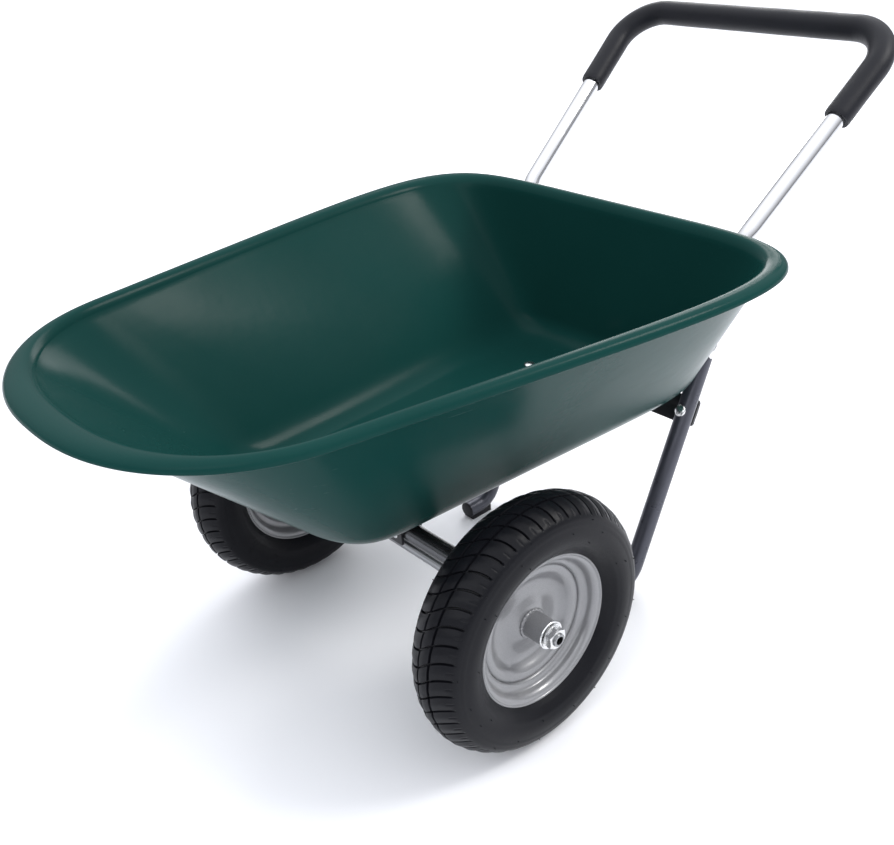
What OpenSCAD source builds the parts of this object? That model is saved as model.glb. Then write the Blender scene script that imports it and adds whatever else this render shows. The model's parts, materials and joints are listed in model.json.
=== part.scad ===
// Two-wheel garden cart. X points forward to the nose, Y to the left, Z up.
// The origin is on the ground, at the middle of the cart's overall length and width.

/* [Overall] */
// Length from the grip's rear face to the nose of the tray
overall_l = 1180; // [1160:1:1200]
// Height of the tray's rim above the ground
rim_z = 515.5; // [505:0.5:525]

/* [Tray] */
// Distance from the nose of the rim back to its rear edge
rim_l = 853; // [845:1:860]
// Half width of the rim where the round nose begins
rim_nose_w = 256; // [250:1:262]
// Length of the rim's round nose
rim_nose_l = 193; // [180:1:205]
// Widening of the rim towards the rear, per millimetre of length
rim_taper = 0.0007; // [0.0005:0.00005:0.0008]
// Height of the tray's flat floor, underneath
floor_z = 275; // [272:1:280]
// Half width of the floor's outline where its front corners begin
floor_w = 142; // [136:1:146]
// Widening of the floor towards the rear, per millimetre of length
floor_taper = 0.00038; // [0.0003:0.00002:0.0004]
// Distance from the nose of the rim back to the floor's front edge
floor_front = 265; // [255:1:275]
// Length of the floor's outline
floor_l = 573; // [560:1:574]
// Wall thickness of the moulded tray
tray_t = 4; // [3:0.5:5]
// Width of the rolled rim along the sides and the rear
lip_w = 18; // [17:0.5:20]
// How much wider the rolled rim is at the nose, as a share of lip_w
lip_nose_gain = 1.1; // [0.6:0.1:1.3]
// Height of the rolled rim
lip_h = 12; // [10:1:14]

/* [Tubes] */
// Outer diameter of the handle tube and the legs
tube_d = 25.4; // [24:0.2:26]
// Wall thickness of every tube
tube_t = 1.5; // [1.2:0.1:2]
// Outer diameter of the frame rails, which the handle slides into
rail_d = 28.6; // [28.6:0.2:30]
// Outer diameter of the beam above the axle
beam_d = 27; // [25:0.5:28]

/* [Handle] */
// Outer diameter of the foam grip
grip_d = 36.5; // [34:0.5:38]
// Height of the crossbar's centre line
bar_z = 709; // [700:1:720]
// Half width between the handle's two upper corners
bar_w = 227; // [220:1:232]
// Bend radius of the handle's upper corners
handle_bend_r = 60; // [52:1:66]
// Length of grip down each arm, from the corner
grip_arm_l = 152; // [130:1:170]

/* [Legs] */
// Distance of each leg from the middle plane
leg_y = 152; // [150:1:156]
// Forward lean of the legs, from vertical
leg_lean = 26.6; // [25:0.1:28]
// Bend radius between a leg and its foot
foot_bend_r = 36; // [32:1:48]
// Thickness of the pad under each foot
foot_pad_t = 3; // [2:0.5:4]

/* [Wheels] */
// Outer radius of the tyre
tyre_r = 165; // [160:1:168]
// Width of the tyre
tyre_w = 82; // [76:1:84]
// Half of the track, between the middle planes of the two wheels
half_track = 248; // [246:1:252]
// Outer radius of the rim's flange
rim_r = 99; // [97:1:101]
// Outer diameter of the axle tube
axle_d = 16; // [15:0.1:16]
// Radial running clearance between axle and bearing
bearing_gap = 0.05; // [0.02:0.01:0.1]

/* [Hidden] */
$fn = 64;

sides = [-1, 1];
nose_x = overall_l / 2;
touch = 0.1;      // gap between pieces that are clamped or pushed together
slack = 0.2;      // radial gap of a bolt in its hole
elbow_step = 0.1; // how much thicker a bend is than the bars it joins

// Steel tubes
tube_r = tube_d / 2;
rail_r = rail_d / 2;
beam_r = beam_d / 2;
axle_r = axle_d / 2;

// Route of the handle's left arm and the rail that carries it on under the tray
bar_x = -overall_l / 2 + grip_d / 2;
bar_corner = [bar_x, bar_w, bar_z];
drop_top = [-283, 196, 490];
rail_z = floor_z - rail_r - touch;
rail_y = 68;
drop_foot = [-266, rail_y, rail_z];
rail_front = [236, rail_y, rail_z];
drop_bend_r = 50;
rail_bend_r = 60;
socket_top = 35;      // where the rail's open end lies, along the drop
socket_end = 100;     // where the handle tube ends inside the rail
drop_dir = unit(drop_foot - drop_top);
arm_dir = unit(drop_top - bar_corner);
handle_bolt_at = [52, 82];

// Axle and beam
axle_x = 172;
axle_z = tyre_r;
beam_drop = 25;       // height of the beam above the axle
beam_z = axle_z + beam_drop;
beam_l = 380;
plate_t = 6;
plate_y = 181;

// Legs
foot_z = tube_r + foot_pad_t;
leg_foot = [-125, leg_y, foot_z];
foot_l = 44;
leg_l = 363;
leg_up = [-sin(leg_lean), 0, cos(leg_lean)];
leg_back = [-cos(leg_lean), 0, -sin(leg_lean)];
leg_joint = [-275.5, leg_y, 326];
brace_at = 255;       // distance of the brace's middle from the foot, along the leg
brace_h = 40;
brace_t = 5;
brace_w = 161;

// Wheel, in its own frame: the axle along Z, outboard up, middle plane at z = 0
flange_z = 26.6;
hub_in = -38;
hub_out = 34;
hub_r = 16.5;
bearing_r = 13.5;
bearing_l = 11;
bearing_flange_r = 18;
bearing_flange_t = 3;
washer_t = 2;
axle_proud = 2.5;     // how far the axle stands out of its nuts
run_gap = 0.3;
nut_h = 7.5;
rim_t = 2.5;
seat_r = rim_r - 10;
well_r = rim_r - 21;
tyre_wall = 8;
tube_section_r = 24;
tyre_mid_r = (tyre_r + seat_r) / 2 - 1;
stem_tilt = 15;
stem_r = 4.5;
stem_l = 34;
thread_r = 2.6;
thread_l = 9;
valve_base_h = 3;
valve_angle = 150;

// M8 and M6 hardware
m8_r = 4;
m8_head_r = 8.5;
m8_head_h = 4.5;
m8_nut_af = 13;
m8_nut_h = 6.5;
m8_washer_r = 8;
m8_washer_t = 1.6;
m6_r = 3;
m6_head_r = 5.5;
m6_head_h = 3.5;
m6_nut_af = 10;
m6_nut_h = 5;
flange_x = 30;        // distance of the hanger's bolts from the axle
tray_bolt_x = [-150, axle_x - flange_x, axle_x + flange_x];
hanger_bolt_y = 22;
hanger_t = 4;

function unit(v) = v / norm(v);
function flat_side(u) = abs(u.y) > 0.999 ? [1, 0, 0] : unit(cross([0, 1, 0], u));

// Puts the children's Z axis along u and their X axis along a, at p
module aim(p, u, a) {
    b = cross(u, a);
    multmatrix([
        [a.x, b.x, u.x, p.x],
        [a.y, b.y, u.y, p.y],
        [a.z, b.z, u.z, p.z],
        [0, 0, 0, 1]
    ])
        children();
}

// A round bar from p to q
module bar(p, q, r) {
    u = unit(q - p);
    aim(p, u, flat_side(u))
        cylinder(h = norm(q - p), r = r);
}

function bend_angle(p, c, q) = acos(unit(c - p) * unit(q - c));
function bend_cut(p, c, q, bend) = bend * tan(bend_angle(p, c, q) / 2);

// The part of a ring that turns a bar round the corner c, a hair thicker than the bar
module elbow(p, c, q, bend, r) {
    u = unit(c - p);
    w = unit(q - c);
    inward = unit(w - (w * u) * u);
    start = c - u * bend_cut(p, c, q, bend);
    aim(start + inward * bend, cross(-inward, u), -inward)
        rotate_extrude(angle = bend_angle(p, c, q))
            translate([bend, 0])
                circle(r + elbow_step);
}

// A bar through the points, with a bend radius at each inner one
module bent_bar(points, bends, r) {
    last = len(points) - 1;
    for (i = [0 : last - 1]) {
        p = points[i];
        q = points[i + 1];
        u = unit(q - p);
        before = i == 0 ? 0 : bend_cut(points[i - 1], p, q, bends[i - 1]) - elbow_step;
        after = i == last - 1 ? 0 : bend_cut(p, q, points[i + 2], bends[i]) - elbow_step;
        bar(p + u * before, q - u * after, r);
    }
    for (i = [1 : last - 1])
        elbow(points[i - 1], points[i], points[i + 1], bends[i - 1], r);
}

module mirrored_pair() {
    for (side = sides)
        mirror([0, side < 0 ? 1 : 0, 0])
            children();
}

// Tray ------------------------------------------------------------------

ring_n = 88;
rim_mid_x = nose_x - rim_nose_l;
rim_rear_x = nose_x - rim_l;
floor_front_x = nose_x - floor_front;
floor_rear_x = floor_front_x - floor_l;
floor_nose_l = 100;   // length of the floor outline's front corners
floor_mid_x = floor_front_x - floor_nose_l;
fillet_lean = 165;    // how far behind floor_mid_x the fillets point
nose_power = 2.35;
rear_power = 6;
floor_nose_power = 4.6;
floor_rear_power = 12;
fillet_steps = 6;
fillet_share = [0.15, 0.15];

function signed_power(v, p) = sign(v) * pow(abs(v), p);

// One point of an egg-shaped outline: a blunt rear and a rounder nose about mid_x
function egg(a, front, rear, mid, w, pf, pr, taper) =
    let (
        nose = cos(a) >= 0,
        p = nose ? pf : pr,
        reach = nose ? front - mid : mid - rear,
        x = mid + reach * signed_power(cos(a), 2 / p),
        y = w * signed_power(sin(a), 2 / p)
    )
    [x, y * (1 - taper * (x - mid))];

// The rolled rim grows wider towards the nose, where the load is poured out
function rim_inset(a, inset) = inset * (1 + lip_nose_gain * pow(max(0, cos(a)), 2));
function rim_point(a, inset) =
    let (i = rim_inset(a, inset))
    egg(a, nose_x - i, rim_rear_x + i, rim_mid_x, rim_nose_w - i, nose_power, rear_power, rim_taper);
function floor_point(a, inset) =
    egg(a, floor_front_x - inset, floor_rear_x + inset, floor_mid_x, floor_w - inset,
        floor_nose_power, floor_rear_power, floor_taper);

function ring_angle(i) = 360 * (i + 0.5) / ring_n;
function at_z(p, z) = [p.x, p.y, z];
function rim_ring(inset, down) =
    [for (i = [0 : ring_n - 1]) at_z(rim_point(ring_angle(i), inset), rim_z - down)];

// A wall ring: share runs along the fillet from the floor (0) to the wall (1)
function fillet_point(a, share, floor_in, z, top_in, top_down) =
    let (
        corner = at_z(floor_point(a, floor_in), z),
        top = at_z(rim_point(a, top_in), rim_z - top_down),
        middle = [floor_mid_x - fillet_lean, 0, z],
        inner = corner + (middle - corner) * fillet_share[0],
        upper = corner + (top - corner) * fillet_share[1]
    )
    inner * pow(1 - share, 2) + corner * 2 * share * (1 - share) + upper * pow(share, 2);
function fillet_ring(share, floor_in, z, top_in, top_down) =
    [for (i = [0 : ring_n - 1]) fillet_point(ring_angle(i), share, floor_in, z, top_in, top_down)];

inside_rings = [
    for (k = [0 : fillet_steps]) fillet_ring(k / fillet_steps, tray_t, floor_z + tray_t, lip_w + 2, lip_h)
];
lip_rings = [
    rim_ring(lip_w + 2, lip_h),
    rim_ring(lip_w - 1, lip_h / 3),
    rim_ring(lip_w * 0.75, 0.8),
    rim_ring(lip_w * 0.5, 0),
    rim_ring(lip_w * 0.25, 1.2),
    rim_ring(1.5, lip_h / 3),
    rim_ring(0, lip_h * 0.65),
    rim_ring(0.4, lip_h),
    rim_ring(3.4, lip_h),
    rim_ring(3.6, lip_h * 0.65),
    rim_ring(6.5, 4.6),
    rim_ring(lip_w * 0.55, 4.2),
    rim_ring(lip_w * 0.75, 6),
    rim_ring(lip_w - 2.5, lip_h + 2)
];
outside_rings = [
    for (k = [0 : fillet_steps])
        fillet_ring(1 - k / fillet_steps, 0, floor_z, lip_w - 2.5, lip_h + 2)
];

module tray() {
    color("#1f4d47")
        difference() {
            tray_shell();
            for (x = tray_bolt_x, side = sides)
                translate([x, side * rail_y, floor_z - 1])
                    cylinder(h = tray_t + 2, r = m8_r + slack);
        }
}

module tray_shell() {
    rings = concat(inside_rings, lip_rings, outside_rings);
    n = ring_n;
    m = len(rings);
    polyhedron(
        points = [for (ring = rings) each ring],
        faces = concat(
            [[for (i = [n - 1 : -1 : 0]) i]],
            [
                for (j = [0 : m - 2], i = [0 : n - 1])
                    let (k = (i + 1) % n)
                    each [
                        [j * n + i, j * n + k, (j + 1) * n + k],
                        [j * n + i, (j + 1) * n + k, (j + 1) * n + i]
                    ]
            ],
            [[for (i = [0 : n - 1]) (m - 1) * n + i]]
        )
    );
}

// Handle ----------------------------------------------------------------

function flip_y(p) = [p.x, -p.y, p.z];
function along_drop(d) = drop_top + drop_dir * d;
handle_end = along_drop(socket_end);
rail_end = along_drop(socket_top);
drop_side = flat_side(drop_dir);

module handle_route(r, past) {
    left = [bar_corner, drop_top, handle_end + drop_dir * past];
    bent_bar(
        [flip_y(left[2]), flip_y(left[1]), flip_y(left[0]), left[0], left[1], left[2]],
        [drop_bend_r, handle_bend_r, handle_bend_r, drop_bend_r],
        r
    );
}

module handle_bolt_holes(r) {
    for (d = handle_bolt_at)
        aim(along_drop(d) - drop_side * rail_d, drop_side, drop_dir)
            cylinder(h = 2 * rail_d, r = r);
}

module handle_tube() {
    color("silver")
        difference() {
            handle_route(tube_r, 0);
            handle_route(tube_r - tube_t, 1);
            mirrored_pair()
                handle_bolt_holes(m6_r + slack);
        }
}

module grip_route(r, past) {
    arm_end = bar_corner + arm_dir * (grip_arm_l + past);
    bent_bar(
        [flip_y(arm_end), flip_y(bar_corner), bar_corner, arm_end],
        [handle_bend_r, handle_bend_r],
        r
    );
}

module grip() {
    color("#1c1d20")
        difference() {
            grip_route(grip_d / 2, 0);
            grip_route(tube_r + touch, 1);
        }
}

// Frame -----------------------------------------------------------------

module rail_route(r, past) {
    bent_bar([rail_end - drop_dir * past, drop_foot, rail_front + [past, 0, 0]], [rail_bend_r], r);
}

module leg_bolt_hole(r) {
    translate([leg_joint.x, 0, leg_joint.z])
        rotate([-90, 0, 0])
            cylinder(h = leg_y + 30, r = r);
}

module rail() {
    color("#4a4d55")
        difference() {
            rail_route(rail_r, 0);
            rail_route(rail_r - tube_t, 1);
            handle_bolt_holes(m6_r + slack);
            leg_bolt_hole(m8_r + slack);
            for (x = tray_bolt_x)
                translate([x, rail_y, rail_z - rail_d])
                    cylinder(h = 2 * rail_d, r = m8_r + slack);
        }
}

module rail_left() {
    rail();
}

module rail_right() {
    mirror([0, 1, 0])
        rail();
}

// A push-in plug with a thin domed cap, its stem pointing along -Z
module plug(outer, inner) {
    cap_h = 2.5;
    stem_h = 10;
    translate([0, 0, -stem_h])
        cylinder(h = stem_h, r = inner);
    cylinder(h = cap_h, r1 = outer, r2 = outer - 1);
}

module rail_plugs() {
    color("#17181a")
        mirrored_pair()
            aim(rail_front, [1, 0, 0], [0, 1, 0])
                plug(rail_r, rail_r - tube_t - touch);
}

leg_top = leg_foot + leg_up * leg_l;
foot_end = leg_foot + [foot_l, 0, 0];

module leg_route(r, past) {
    bent_bar([leg_top + leg_up * past, leg_foot, foot_end + [past, 0, 0]], [foot_bend_r], r);
}

module brace_hole(r) {
    at = leg_foot + leg_up * brace_at;
    aim(at - leg_back * tube_d, leg_back, leg_up)
        cylinder(h = 2 * tube_d, r = r);
}

module leg() {
    color("#4a4d55")
        difference() {
            leg_route(tube_r, 0);
            leg_route(tube_r - tube_t, 1);
            leg_bolt_hole(m8_r + slack);
            brace_hole(m8_r + slack);
        }
}

module leg_left() {
    leg();
}

module leg_right() {
    mirror([0, 1, 0])
        leg();
}

module leg_plugs() {
    color("#17181a")
        mirrored_pair() {
            aim(leg_top, leg_up, [0, 1, 0])
                plug(tube_r, tube_r - tube_t - touch);
            aim(foot_end, [1, 0, 0], [0, 1, 0])
                plug(tube_r, tube_r - tube_t - touch);
        }
}

// A half-round shoe under the foot's straight and the start of its bend
module foot_pads() {
    pad_l = 42;
    pad_w = 20;
    color("#17181a")
        mirrored_pair()
            difference() {
                translate([foot_end.x - pad_l, leg_y - pad_w / 2, 0])
                    cube([pad_l - 2, pad_w, foot_z - 4]);
                leg_route(tube_r + touch, 0);
            }
}

module rear_brace() {
    middle = leg_foot + leg_up * brace_at + leg_back * (tube_r + touch);
    corner_r = 6;
    color("#1c1d20")
        difference() {
            aim(middle - [0, leg_y, 0], leg_back, leg_up)
                linear_extrude(brace_t)
                    square_plate(brace_h, 2 * brace_w, corner_r);
            mirrored_pair()
                brace_hole(m8_r + slack);
        }
}

module square_plate(w, h, r) {
    square([w - 2 * r, h], center = true);
    square([w, h - 2 * r], center = true);
    for (i = sides, j = sides)
        translate([i * (w / 2 - r), j * (h / 2 - r)])
            circle(r);
}

// Axle beam and its hangers ----------------------------------------------

hanger_top = rail_z - rail_r - touch;
hanger_low = beam_z - 13;
hanger_w = rail_y + 10;
hanger_neck_w = 34;
hanger_neck_z = beam_z + 14;
hanger_flange = 42;

module hanger_outline() {
    polygon([
        [-hanger_w, hanger_top],
        [-hanger_w, hanger_top - 8],
        [-hanger_neck_w, hanger_neck_z],
        [-hanger_neck_w, hanger_low],
        [hanger_neck_w, hanger_low],
        [hanger_neck_w, hanger_neck_z],
        [hanger_w, hanger_top - 8],
        [hanger_w, hanger_top]
    ]);
}

// A pressed bracket: an upright web against the beam and a flange under the rails
module hanger() {
    web_x = axle_x + beam_r + touch;
    color("#2b2d31")
        difference() {
            union() {
                translate([web_x, 0, 0])
                    rotate([90, 0, 90])
                        linear_extrude(hanger_t)
                            hanger_outline();
                translate([web_x, -hanger_w, hanger_top - hanger_t])
                    cube([hanger_flange - beam_r, 2 * hanger_w, hanger_t]);
            }
            for (side = sides) {
                translate([axle_x + flange_x, side * rail_y, hanger_top - 2 * hanger_t])
                    cylinder(h = 3 * hanger_t, r = m8_r + slack);
                beam_bolt_hole(side * hanger_bolt_y, m6_r + slack);
            }
        }
}

module beam_bolt_hole(y, r) {
    translate([axle_x - 2 * beam_d, y, beam_z])
        rotate([0, 90, 0])
            cylinder(h = 4 * beam_d, r = r);
}

// Swaps front and rear about the axle
module about_axle() {
    translate([2 * axle_x, 0, 0])
        mirror([1, 0, 0])
            children();
}

module hanger_front() {
    hanger();
}

module hanger_rear() {
    about_axle()
        hanger();
}

module cross_bar(z, l, r) {
    translate([axle_x, l / 2, z])
        rotate([90, 0, 0])
            cylinder(h = l, r = r);
}

module axle_beam() {
    color("#55585e")
        difference() {
            cross_bar(beam_z, beam_l, beam_r);
            cross_bar(beam_z, beam_l + 2, beam_r - tube_t);
            for (side = sides)
                beam_bolt_hole(side * hanger_bolt_y, m6_r + slack);
        }
}

module beam_plugs() {
    color("#17181a")
        mirrored_pair()
            translate([axle_x, beam_l / 2, beam_z])
                rotate([-90, 0, 0])
                    plug(beam_r, beam_r - tube_t - touch);
}

// The plate that carries the axle under the beam
module axle_plate() {
    rim = 6;
    color("#2b2d31")
        difference() {
            translate([axle_x, plate_y, 0])
                rotate([-90, 0, 0])
                    linear_extrude(plate_t)
                        hull() {
                            translate([0, -beam_z])
                                circle(beam_r + rim);
                            translate([0, -axle_z])
                                circle(axle_r + rim);
                        }
            cross_bar(beam_z, beam_l + 2, beam_r + touch);
            cross_bar(axle_z, beam_l + 2, axle_r + touch);
        }
}

module axle_plate_left() {
    axle_plate();
}

module axle_plate_right() {
    mirror([0, 1, 0])
        axle_plate();
}

// Axle ------------------------------------------------------------------

axle_l = 2 * (half_track + hub_out + bearing_flange_t + washer_t + nut_h + 2 * run_gap + axle_proud);
inner_face = half_track + hub_in - bearing_flange_t;
outer_face = half_track + hub_out + bearing_flange_t;

module axle_tube() {
    chamfer = 1;
    bore_r = 5.3;
    color("silver")
        difference() {
            union() {
                cross_bar(axle_z, axle_l - 2 * chamfer, axle_r);
                mirrored_pair()
                    translate([axle_x, axle_l / 2 - chamfer, axle_z])
                        rotate([-90, 0, 0])
                            cylinder(h = chamfer, r1 = axle_r, r2 = axle_r - chamfer);
            }
            cross_bar(axle_z, axle_l + 2, bore_r);
        }
}

// A collar round the axle, from y0 outwards
module collar(y0, l, outer, inner) {
    translate([axle_x, y0, axle_z])
        rotate([-90, 0, 0])
            difference() {
                cylinder(h = l, r = outer);
                translate([0, 0, -1])
                    cylinder(h = l + 2, r = inner);
            }
}

module axle_spacers() {
    start = plate_y + plate_t + touch;
    color("silver")
        mirrored_pair()
            collar(start, inner_face - run_gap - start, 11, axle_r + touch);
}

module axle_washers() {
    color("gainsboro")
        mirrored_pair()
            collar(outer_face + run_gap, washer_t, 14, axle_r + touch);
}

module axle_nuts() {
    across_flats = 24;
    color("gainsboro")
        mirrored_pair()
            translate([axle_x, outer_face + run_gap + washer_t + touch, axle_z])
                rotate([-90, 0, 0])
                    hex_nut(across_flats, nut_h, axle_r + touch);
}

// Wheels ----------------------------------------------------------------

// Places a part of the wheel; the wheel's Z axis points outboard
module on_wheel() {
    translate([axle_x, half_track, axle_z])
        rotate([-90, 0, 0])
            children();
}

module on_right_wheel() {
    mirror([0, 1, 0])
        on_wheel()
            children();
}

// Rounded casing outline of the tyre, from bead to bead; x is the radius
function casing(a, half_w, top, low) = [
    low + (top - low) * pow(abs(cos(a)), 0.62),
    half_w * signed_power(sin(a), 0.62)
];
casing_n = 26;
function casing_line(half_w, top, low, reach) =
    [for (i = [0 : casing_n]) casing(-reach + 2 * reach * i / casing_n, half_w, top, low)];
function backwards(list) = [for (i = [len(list) - 1 : -1 : 0]) list[i]];

tyre_outer_line = casing_line(tyre_w / 2, tyre_r, tyre_mid_r - 18, 90);
tyre_inner_line =
    casing_line(tyre_w / 2 - tyre_wall, tyre_r - tyre_wall - 3, tyre_mid_r - 12, 90);
bead_z = flange_z - 5.8;
bead_w = 8;
bead_r = seat_r + 0.4;

module tyre() {
    groove_w = 3;
    groove_h = 3;
    color("#1b1c1f")
        rotate_extrude($fn = 96)
            difference() {
                polygon(concat(
                    [[bead_r, -bead_z], [rim_r + 1, -bead_z - 1]],
                    tyre_outer_line,
                    [[rim_r + 1, bead_z + 1], [bead_r, bead_z], [bead_r, bead_z - bead_w]],
                    backwards(tyre_inner_line),
                    [[bead_r, bead_w - bead_z]]
                ));
                for (z = [-9, 9])
                    translate([tyre_r - groove_h, z - groove_w / 2])
                        square([groove_h + 1, groove_w]);
            }
}

module inner_tube() {
    color("#2a2b2e")
        rotate_extrude($fn = 96)
            translate([tyre_mid_r + 2, 0])
                difference() {
                    circle(tube_section_r);
                    circle(tube_section_r - 2);
                }
}

// Half of the rim's outline above its middle plane; x is the radius
rim_half = [
    [well_r, 0],
    [well_r, 9],
    [well_r + 4, 12],
    [seat_r - rim_t, 14],
    [seat_r - rim_t, flange_z - 4],
    [seat_r - rim_t + 2, flange_z - 1.6],
    [rim_r - 3, flange_z],
    [rim_r, flange_z - 0.5],
    [rim_r, flange_z - 3.5],
    [rim_r - 1.6, flange_z - 3.5],
    [rim_r - 3.5, flange_z - 2.6],
    [seat_r + 2, flange_z - 4],
    [seat_r, flange_z - 5.4],
    [seat_r, 14 - rim_t / 2],
    [well_r + rim_t + 3, 10.4],
    [well_r + rim_t, 7],
    [well_r + rim_t, 0]
];
function flip_z(list) = [for (i = [len(list) - 1 : -1 : 0]) [list[i].x, -list[i].y]];

// Dished disc from the well down to the hub
disc_line = [
    [well_r + 1, 7], [73, 7.5], [65, 6.5], [59, 1], [50, -4], [36, -3], [26, 1.5], [hub_r + touch, 4]
];

module rim() {
    color("#9a9ca1")
        difference() {
            union() {
                rotate_extrude($fn = 96)
                    polygon(rim_half);
                rotate_extrude($fn = 96)
                    polygon(flip_z(rim_half));
                rotate_extrude($fn = 96)
                    polygon(concat(
                        disc_line,
                        backwards([for (p = disc_line) [p.x, p.y - rim_t]])
                    ));
            }
            at_valve()
                cylinder(h = 12, r = stem_r + slack);
        }
}

// The valve leaves the well on the inboard side of the disc; Z runs out along its stem
module at_valve() {
    rotate([0, 0, valve_angle])
        aim([well_r + 7.5, 0, -3], [-cos(stem_tilt), 0, -sin(stem_tilt)], [0, 1, 0])
            children();
}

module valve() {
    color("#232427")
        at_valve() {
            cylinder(h = valve_base_h, r = 7);
            cylinder(h = stem_l - thread_l, r = stem_r);
            cylinder(h = stem_l, r = thread_r);
        }
}

module valve_cap() {
    wall = 1.2;
    color("#17181a")
        at_valve()
            translate([0, 0, stem_l - thread_l + touch])
                difference() {
                    cylinder(h = thread_l + 2, r = thread_r + touch + wall);
                    translate([0, 0, -1])
                        cylinder(h = thread_l + 1.2, r = thread_r + touch);
                }
}

module hub() {
    color("#85888e")
        translate([0, 0, hub_in])
            difference() {
                cylinder(h = hub_out - hub_in, r = hub_r);
                translate([0, 0, -1])
                    cylinder(h = hub_out - hub_in + 2, r = bearing_r + touch);
            }
}

// A flanged bearing, its flange at z = 0 facing +Z
module bearing() {
    color("gainsboro")
        difference() {
            union() {
                cylinder(h = bearing_flange_t, r = bearing_flange_r);
                translate([0, 0, -bearing_l])
                    cylinder(h = bearing_l, r = bearing_r);
            }
            translate([0, 0, -bearing_l - 1])
                cylinder(h = bearing_l + bearing_flange_t + 2, r = axle_r + bearing_gap);
        }
}

module outer_bearing() {
    translate([0, 0, hub_out])
        bearing();
}

module inner_bearing() {
    translate([0, 0, hub_in])
        mirror([0, 0, 1])
            bearing();
}

// Fasteners -------------------------------------------------------------

module hex_nut(across_flats, h, bore) {
    difference() {
        cylinder(h = h, r = across_flats / 2 / cos(30), $fn = 6);
        translate([0, 0, -1])
            cylinder(h = h + 2, r = bore);
    }
}

// A domed head above z = 0 and a shank of length l below it
module dome_bolt(r, head_r, head_h, l) {
    rotate_extrude()
        polygon(concat(
            [[0, -l], [r, -l], [r, 0]],
            [for (a = [0 : 15 : 90]) [head_r * cos(a), head_h * sin(a)]]
        ));
}

function under_rail(x) = rail_z - rail_r - touch - (x > 0 ? hanger_t + touch : 0);

module each_tray_bolt() {
    for (x = tray_bolt_x)
        mirrored_pair()
            translate([x, rail_y, 0]) {
                $bolt_x = x;
                children();
            }
}

module tray_bolts() {
    top = floor_z + tray_t + touch;
    color("gainsboro")
        each_tray_bolt()
            translate([0, 0, top])
                dome_bolt(m8_r, m8_head_r, m8_head_h, top - under_rail($bolt_x) + m8_nut_h + 5);
}

module tray_washers() {
    color("silver")
        each_tray_bolt()
            translate([0, 0, under_rail($bolt_x) - m8_washer_t])
                difference() {
                    cylinder(h = m8_washer_t, r = m8_washer_r);
                    translate([0, 0, -1])
                        cylinder(h = m8_washer_t + 2, r = m8_r + slack);
                }
}

module tray_nuts() {
    color("silver")
        each_tray_bolt()
            translate([0, 0, under_rail($bolt_x) - m8_washer_t - touch - m8_nut_h])
                hex_nut(m8_nut_af, m8_nut_h, m8_r + touch);
}

hanger_web_out = beam_r + touch + hanger_t + touch;

module each_beam_bolt() {
    for (side = sides)
        translate([axle_x, side * hanger_bolt_y, beam_z])
            rotate([0, 90, 0])
                children();
}

module beam_bolts() {
    color("gainsboro")
        each_beam_bolt()
            translate([0, 0, hanger_web_out])
                dome_bolt(m6_r, m6_head_r, m6_head_h, 2 * hanger_web_out + m6_nut_h + 3);
}

module beam_nuts() {
    color("silver")
        each_beam_bolt()
            translate([0, 0, -hanger_web_out - m6_nut_h])
                hex_nut(m6_nut_af, m6_nut_h, m6_r + touch);
}

module each_handle_bolt() {
    mirrored_pair()
        for (d = handle_bolt_at)
            aim(along_drop(d), drop_side, drop_dir)
                children();
}

module handle_bolts() {
    color("gainsboro")
        each_handle_bolt()
            mirror([0, 0, 1])
                translate([0, 0, rail_r + touch])
                    dome_bolt(m6_r, m6_head_r, m6_head_h, rail_d + m6_nut_h + 4);
}

module handle_nuts() {
    color("silver")
        each_handle_bolt()
            translate([0, 0, rail_r + touch])
                hex_nut(m6_nut_af, m6_nut_h, m6_r + touch);
}

spacer_r = 9;
leg_bolt_inner_y = 80;

module at_leg_joint(y) {
    mirrored_pair()
        translate([leg_joint.x, y, leg_joint.z])
            rotate([-90, 0, 0])
                children();
}

module leg_bolts() {
    head_y = leg_y + tube_r + touch;
    color("gainsboro")
        at_leg_joint(head_y)
            dome_bolt(m8_r, m8_head_r, m8_head_h, head_y - leg_bolt_inner_y + m8_nut_h + 3);
}

module leg_nuts() {
    color("silver")
        at_leg_joint(leg_bolt_inner_y - m8_nut_h)
            hex_nut(m8_nut_af, m8_nut_h, m8_r + touch);
}

// Sleeves on the leg bolt, cut to sit on the two tubes
module saddle_spacers() {
    start = leg_bolt_inner_y + touch;
    color("#17181a")
        mirrored_pair()
            difference() {
                translate([leg_joint.x, start, leg_joint.z])
                    rotate([-90, 0, 0])
                        cylinder(h = leg_y - start, r = spacer_r);
                leg_bolt_hole(m8_r + slack);
                bar(drop_top, drop_foot, rail_r + touch);
                bar(leg_foot, leg_top + leg_up * tube_d, tube_r + touch);
            }
}

module each_brace_bolt() {
    mirrored_pair()
        aim(leg_foot + leg_up * brace_at, leg_back, leg_up)
            children();
}

brace_back = tube_r + brace_t + 2 * touch;

module brace_bolts() {
    color("gainsboro")
        each_brace_bolt()
            mirror([0, 0, 1])
                translate([0, 0, tube_r + touch])
                    dome_bolt(m8_r, m8_head_r, m8_head_h, tube_r + brace_back + m8_nut_h + 3);
}

module brace_nuts() {
    color("silver")
        each_brace_bolt()
            translate([0, 0, brace_back])
                hex_nut(m8_nut_af, m8_nut_h, m8_r + touch);
}

// Assembly --------------------------------------------------------------

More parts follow.
